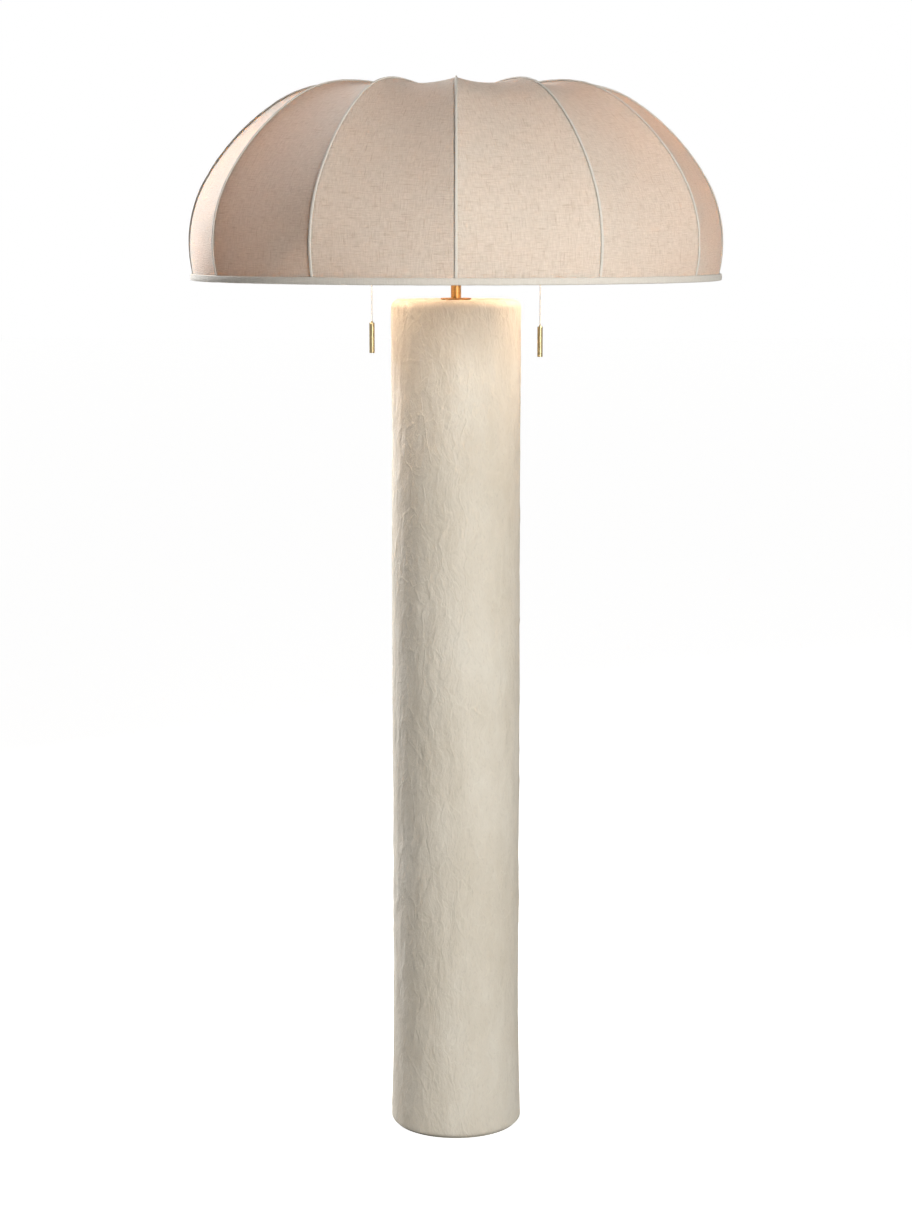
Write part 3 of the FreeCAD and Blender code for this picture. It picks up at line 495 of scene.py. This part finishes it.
def column_profile():
    """The skin's closed outline as (r, z), from the pipe hole over the lid, down outside, under the
    foot and up inside, with how strongly each point takes the hand-laid unevenness."""
    spread = FOOT_RADIUS - COLUMN_RADIUS
    arc = (FLARE_HEIGHT ** 2 + spread ** 2) / (2 * spread)

    def foot(z):
        """The flare's radius: on an arc tangent to the wall, centre radius less root of arc squared
        less depth squared."""
        return COLUMN_RADIUS + arc - np.sqrt(arc ** 2 - (FLARE_HEIGHT - z) ** 2)

    low = SKIN_LOW + FOOT_EDGE
    r = np.linspace(PIPE_HOLE, COLUMN_RADIUS - TOP_EDGE, 16)[:-1]
    lid = np.stack([r, 0 * r + COLUMN_HEIGHT], axis=-1)
    a = np.linspace(0, math.pi / 2, 9)
    edge = np.stack([COLUMN_RADIUS - TOP_EDGE + TOP_EDGE * np.sin(a),
                     COLUMN_HEIGHT - TOP_EDGE + TOP_EDGE * np.cos(a)], axis=-1)
    z = np.linspace(COLUMN_HEIGHT - TOP_EDGE, FLARE_HEIGHT, 222)[1:]
    wall = np.stack([0 * z + COLUMN_RADIUS, z], axis=-1)
    z = np.linspace(FLARE_HEIGHT, low, 36)[1:]
    flare = np.stack([foot(z), z], axis=-1)
    a = np.linspace(0, math.pi / 2, 8)[1:]
    under = np.stack([foot(low) - FOOT_EDGE + FOOT_EDGE * np.cos(a), low - FOOT_EDGE * np.sin(a)], axis=-1)
    outside = np.concatenate([lid, edge, wall, flare, under])
    inside = np.array([(SKIN_INSIDE, SKIN_LOW), (SKIN_INSIDE, 400 * MM), (SKIN_INSIDE, LID_LOW),
                       (PIPE_HOLE, LID_LOW)])
    strength = np.clip((outside[:, 0] - RING_RADIUS) / (18 * MM), 0, 1)
    strength *= np.clip((outside[:, 1] - SKIN_LOW) / (5 * MM), 0, 1)
    return np.concatenate([outside, inside]), np.concatenate([strength, np.zeros(len(inside))])


def column_surface():
    """Outline turned about Z, each point then moved along its normal by noise at 90, 30 and 12 mm, by
    thin creases drawn out along Z, and by shallow dents. The amounts are in millimetres."""
    outline, strength = column_profile()
    points = spun(outline, COLUMN_SIDES)
    tall = points * np.array([1.0, 1.0, 0.4])
    bent = tall + 0.010 * np.stack([lumps(points, 0.05, s) for s in (1, 2, 3)], axis=-1)
    move = 0.55 * lumps(points, 0.09, 4) + 0.40 * lumps(bent, 0.030, 5) + 0.5 * lumps(bent, 0.012, 6)
    move += 0.7 * ridges(bent, 0.026, 0.16, 7) * np.clip(lumps(points, 0.045, 8) + 0.35, 0, 1)
    move += 0.65 * ridges(bent, 0.013, 0.2, 9) * np.clip(lumps(points, 0.03, 10) + 0.2, 0, 1)
    move -= 0.7 * np.clip(lumps(points, 0.04, 11) - 0.55, 0, 1)
    return points + spun_normals(outline, COLUMN_SIDES) * (move * MM * strength[:, None])[..., None]


def inlet_drill():
    """A round bar along Y, through the skin's back only, where the supply cord's bush sits. It is turned
    by half a side, so that no corner of it falls on an edge of the skin."""
    sides = 32
    near, far = COLUMN_RADIUS / 2, FOOT_RADIUS + 20 * MM
    place = Matrix.Translation((0, (near + far) / 2, INLET_HEIGHT))
    place = place @ Matrix.Rotation(math.pi / 2, 4, "X") @ Matrix.Rotation(math.pi / sides, 4, "Z")
    bm = bmesh.new()
    bmesh.ops.create_cone(bm, cap_ends=True, segments=sides, radius1=INLET_RADIUS, radius2=INLET_RADIUS,
                          depth=far - near, matrix=place)
    mesh = bpy.data.meshes.new("drill")
    bm.to_mesh(mesh)
    bm.free()
    mesh.materials.append(paper)
    made = bpy.data.objects.new("drill", mesh)
    bpy.context.scene.collection.objects.link(made)
    return made


def cut_with(made, cutter):
    """The piece's mesh with the cutter's volume taken out of it."""
    knife = made.modifiers.new("cut", "BOOLEAN")
    knife.object = cutter
    knife.solver = "EXACT"
    bpy.context.view_layer.update()
    mesh = bpy.data.meshes.new_from_object(made.evaluated_get(bpy.context.evaluated_depsgraph_get()))
    made.modifiers.clear()
    old = made.data
    made.data = mesh
    mesh.name = made.name
    bpy.data.meshes.remove(old)
    bpy.data.objects.remove(cutter)


skin_points = column_surface()
skin_faces = grid_faces(*skin_points.shape[:2], True, True)[:, ::-1]
skin = piece("column_skin_laid", skin_points, skin_faces, paper)
cut_with(skin, inlet_drill())
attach(skin, "stand")
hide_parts("column_skin")


# ---------------------------------------------------------------- shade

def rib_line(turn):
    """The rib line's (r, z) where its outward normal leans by turn: centre plus radius along (sin, cos) of
    the turn, on the arc that holds it."""
    arc = np.clip(np.searchsorted([a[4] for a in RIB_ARCS], turn - 1e-9), 0, 3)
    centre_r, centre_z, radius = (np.array([a[k] for a in RIB_ARCS])[arc] for k in range(3))
    return centre_r + radius * np.sin(turn), centre_z + radius * np.cos(turn)


def even_turns(first, last, count):
    """Turns at even lengths along the rib line, from first to last, and those lengths: the line is
    measured in short steps, and the turns are read back at even shares of its whole length."""
    steps = 4000
    turn = np.linspace(first, last, steps)
    r, z = rib_line(turn)
    run = np.concatenate([[0], np.cumsum(np.hypot(np.diff(r), np.diff(z)))])
    length = np.linspace(0, run[-1], count)
    return np.interp(length, run, turn), length


def bulge(turn):
    """How far a panel's middle stands out of the chord between its ribs. It is hollow by the sag at the
    crest. That dies out as a cosine towards the crown and towards the rim, where the round rim's own
    rise takes over with the fourth power of the turn."""
    low, high = RIB_ARCS[0][3], RIB_ARCS[3][4]
    share = np.clip(turn / high, 0, 1)
    outer = RIM_RADIUS * (1 - math.cos(HALF_STEP)) * share ** 4 - CREST_SAG * np.cos(math.pi / 2 * share)
    return np.where(turn < 0, -CREST_SAG * np.cos(math.pi / 2 * turn / low), outer)


def on_panel(turn, panel, q, lift=0.0):
    """A point of a panel: the chord between its ribs at q from -1 to 1, plus the bulge times 1 - q^2
    along the normal, plus a lift along the normal. The normal is level past the widest place."""
    r, z = rib_line(turn)
    lean = np.minimum(turn, math.pi / 2)
    out = bulge(turn) * (1 - q ** 2) + lift
    reach = r * math.cos(HALF_STEP) + out * np.sin(lean)
    side_way = r * math.sin(HALF_STEP) * q
    a = -math.pi / 2 + HALF_STEP * (2 * panel + 1)
    return np.stack([reach * np.cos(a) - side_way * np.sin(a), reach * np.sin(a) + side_way * np.cos(a),
                     z + out * np.cos(lean)], axis=-1)


def canopy():
    """One stretched cloth: every panel's q runs from rib to rib, and the last column meets the first.
    Small waves in the cloth die out at the ribs, at the crown and at the rim."""
    turn, length = even_turns(RIB_ARCS[0][3], RIB_ARCS[3][4], RIB_ROWS)
    panel, q = np.meshgrid(np.arange(RIBS), np.linspace(-1, 1, PANEL_COLUMNS, endpoint=False),
                           indexing="ij")
    panel, q = panel.ravel()[None], q.ravel()[None]
    turn = turn[:, None]
    flat_points = on_panel(turn, panel, q)
    wave = 0.5 * lumps(flat_points, 0.07, 21) + 0.25 * lumps(flat_points, 0.028, 22)
    share = length[:, None] / length[-1]
    calm = (1 - q ** 6) * np.clip(share * 8, 0, 1) * np.clip((1 - share) * 10, 0, 1)
    points = on_panel(turn, panel, q, -CLOTH_INSET + wave * calm * MM)
    half = rib_line(turn)[0] * math.sin(HALF_STEP)
    uv = np.stack([half * q + CUT_ACROSS * panel, length[:, None] + 0 * q + CUT_ALONG * panel], axis=-1)
    return points, uv, half[:, 0]


def canopy_map(faces, uv, half):
    """The cloth's map at each face's corners. A panel's last column of faces ends on the next panel's
    first points, so there the map goes on to the panel's own edge, half its width from its middle."""
    corner_uv = uv.reshape(-1, 2)[faces]
    columns = RIBS * PANEL_COLUMNS
    last = faces[:, 2] % PANEL_COLUMNS == 0
    row = faces[last] // columns
    panel = faces[last][:, 3] % columns // PANEL_COLUMNS
    for corner, beside in ((1, 0), (2, 3)):
        corner_uv[last, corner, 0] = half[row[:, corner]] + CUT_ACROSS * panel
        corner_uv[last, corner, 1] = corner_uv[last, beside, 1]
    return corner_uv


cloth_points, cloth_uv, cloth_half = canopy()
cloth_faces = grid_faces(*cloth_points.shape[:2], False, True)[:, ::-1]
shade_cloth = piece("linen_canopy", cloth_points, cloth_faces, linen)
layer = shade_cloth.data.uv_layers.new(name="cloth")
layer.data.foreach_set("uv", canopy_map(cloth_faces, cloth_uv, cloth_half).ravel())
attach(shade_cloth, "shade")
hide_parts("linen_panels")


def seam_tapes():
    """Twelve folded strips: a flat oval across the seam, its width along the cloth on both sides of
    the rib and its height along the normal, carried down the rib line with slight puckers. Each end is
    closed by strips of four-sided faces across the oval."""
    around = 14
    first = RIB_ARCS[0][3] + 9.4 * MM / RIB_ARCS[0][2]
    last = math.acos((RIM_HEIGHT + TRIM_HEIGHT - 0.3 * MM - RIB_ARCS[3][1]) / RIB_ARCS[3][2])
    turn, length = even_turns(first, last, RIB_ROWS)
    a = np.linspace(0, 2 * math.pi, around, endpoint=False)
    width = np.sign(np.cos(a)) * np.abs(np.cos(a)) ** 0.85 * TAPE_HALF
    height = np.where(np.sin(a) > 0, np.abs(np.sin(a)) ** 0.75 * TAPE_RISE, -TAPE_UNDER * np.abs(np.sin(a)))
    rib, turn, w, h = np.broadcast_arrays(np.arange(RIBS)[:, None, None], turn[None, :, None],
                                          width[None, None], height[None, None])
    half = rib_line(turn)[0] * math.sin(HALF_STEP)
    spot = np.stack([rib * 1.7, length[None, :, None] + 0 * w, 0 * w], axis=-1)
    pucker = 1 + 0.16 * lumps(spot, 0.006, 31) + 0.12 * lumps(spot, 0.02, 32)
    w = w * (1 + 0.06 * lumps(spot, 0.015, 33))
    q = np.where(w >= 0, -1 + np.abs(w) / half, 1 - np.abs(w) / half)
    panel = np.where(w >= 0, rib, rib - 1)
    points = on_panel(turn, panel, q, TAPE_LIFT + h * pucker)
    uv = np.stack([w + 0.02 * rib, length[None, :, None] + 0 * w], axis=-1)
    faces = [grid_faces(RIB_ROWS, around, False, True)]
    k = np.arange(around // 2 - 1)
    for end in (np.arange(around), np.arange(around)[::-1] + (RIB_ROWS - 1) * around):
        faces.append(np.stack([end[around - 1 - k], end[around - 2 - k], end[k + 1], end[k]], axis=-1))
    faces = np.concatenate(faces)[None] + (np.arange(RIBS) * RIB_ROWS * around)[:, None, None]
    return piece("seam_tapes", points, faces.reshape(-1, 4), tape, uv)


tapes = seam_tapes()
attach(tapes, "shade")
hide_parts("seam_piping")


def binding(name, corners, ease, count, node):
    """A folded tape round an edge: an eased outline turned about Z, each point then moved along its
    normal by noise at 7 and 30 mm."""
    outline = eased(corners, ease)
    points = spun(outline, count)
    move = 0.16 * lumps(points, 0.007, 41) + 0.14 * lumps(points, 0.03, 42)
    points = points + spun_normals(outline, count) * (move * MM)[..., None]
    round_way = np.linspace(0, 2 * math.pi, count, endpoint=False) * outline[:, 0].mean()
    run = np.concatenate([[0], np.cumsum(np.linalg.norm(np.diff(outline, axis=0), axis=1))])
    uv = np.stack(np.broadcast_arrays(round_way[None], run[:, None]), axis=-1)
    faces = grid_faces(len(outline), count, True, True)[:, ::-1]
    made = piece(name, points, faces, tape, uv)
    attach(made, "shade")
    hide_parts(node)
    return made


low, top = RIM_HEIGHT, RIM_HEIGHT + TRIM_HEIGHT
rim_binding = binding("rim_binding", [
    (392.4 * MM, low), (392.4 * MM, top), (393.7 * MM, top), (393.7 * MM, low + 2.4 * MM),
    (SHADE_RADIUS - 2.8 * MM, low + 2.4 * MM), (SHADE_RADIUS - 2.9 * MM, top - 0.2 * MM),
    (SHADE_RADIUS - 2.0 * MM, top + 0.2 * MM), (SHADE_RADIUS - 0.4 * MM, top - 0.5 * MM),
    (SHADE_RADIUS, (low + top) / 2), (SHADE_RADIUS - 0.4 * MM, low + 0.8 * MM),
    (SHADE_RADIUS - 2.5 * MM, low)], 1.4 * MM, 720, "rim_trim")


def at_crown(along, out):
    """A point beside the crown's edge: along the cloth outward from it, and out along its normal."""
    turn = RIB_ARCS[0][3]
    r, z = 45 * MM, 1610.4 * MM
    return (r + (along * math.cos(turn) + out * math.sin(turn)) * MM,
            z + (-along * math.sin(turn) + out * math.cos(turn)) * MM)


crown_binding = binding("crown_binding", [
    at_crown(-3.5, 2.1), at_crown(3.0, 2.2), at_crown(9.0, 1.9), at_crown(9.1, 0.9), at_crown(-2.3, 0.9),
    at_crown(-2.3, -4.5), at_crown(-3.5, -4.5)], 0.8 * MM, 240, "crown_trim")


# ---------------------------------------------------------------- floor and light

floor_points = FLOOR_REACH * np.array([(-1, -1, 0), (1, -1, 0), (1, 1, 0), (-1, 1, 0)])
floor_finish, floor_tree, floor_shader = finish_of("studio_floor_matt_white", "#ACABA9", 0.9,
                                                   Emission_Color="#FFFFFF")
floor_place = add(floor_tree, "TexCoord").outputs["Object"]
floor_noise = add(floor_tree, "TexNoise", {"Scale": 3.0}, {"Vector": floor_place}).outputs[0]
floor_tone = add(floor_tree, "ValToRGB", {"stops": ((0.3, "#AAA9A7"), (0.7, "#AEADAB"))},
                 {0: floor_noise}).outputs[0]
floor_tree.links.new(floor_tone, floor_shader.inputs["Base Color"])


def seen_or_mirrored(tree):
    """How white a backdrop looks: fully where it is seen, less where metal mirrors it."""
    path = add(tree, "LightPath").outputs
    mirrored = add(tree, "Math", {"operation": "MULTIPLY", 1: MIRRORED_SHARE},
                   {0: path["Is Glossy Ray"]}).outputs[0]
    return add(tree, "Math", {"operation": "MAXIMUM"}, {0: path["Is Camera Ray"], 1: mirrored}).outputs[0]


# the floor is as white as the wall to the eye, but sheds little light of its own on the lamp
floor_far = add(floor_tree, "MapRange", {"To Max": 0.92}, {0: seen_or_mirrored(floor_tree)}).outputs[0]
floor_tree.links.new(floor_far, floor_shader.inputs["Emission Strength"])
floor = piece("studio_floor", floor_points, np.array([[0, 1, 2, 3]]), floor_finish)

world = bpy.data.worlds.new("studio")
bpy.context.scene.world = world
world.use_nodes = True
sky = world.node_tree
sky.nodes.clear()
strength = add(sky, "MapRange", {"To Min": 0.04, "To Max": 1.0}, {0: seen_or_mirrored(sky)}).outputs[0]
room = add(sky, "Background", {"Color": "#FFFFFF"}, {"Strength": strength}).outputs[0]
add(sky, "OutputWorld", {}, {"Surface": room})


def softbox(name, place, aim, width, height, power, tint):
    """A large soft lamp at a place, facing a point."""
    lamp = bpy.data.lights.new(name, "AREA")
    lamp.shape = "RECTANGLE"
    lamp.size, lamp.size_y = width, height
    lamp.energy = power
    lamp.color = linear(tint)[:3]
    made = bpy.data.objects.new(name, lamp)
    made.location = place
    way = np.array(aim) - np.array(place)
    made.rotation_euler = (math.atan2(math.hypot(way[0], way[1]), -way[2]), 0,
                           math.atan2(way[1], way[0]) - math.pi / 2)
    bpy.context.scene.collection.objects.link(made)


softbox("key_front_right", (1.75, -3.55, 1.95), (0, 0, 1.05), 1.6, 1.8, 128, "#FFFEFA")
softbox("rim_back_left", (-1.72, 1.72, 2.15), (-0.3, 0, 1.5), 0.8, 1.2, 126, "#FFFFFF")
softbox("fill_floor_front", (0.6, -3.2, 5.0), (0, 0, 0.4), 3.0, 2.0, 19, "#FFFFFF")
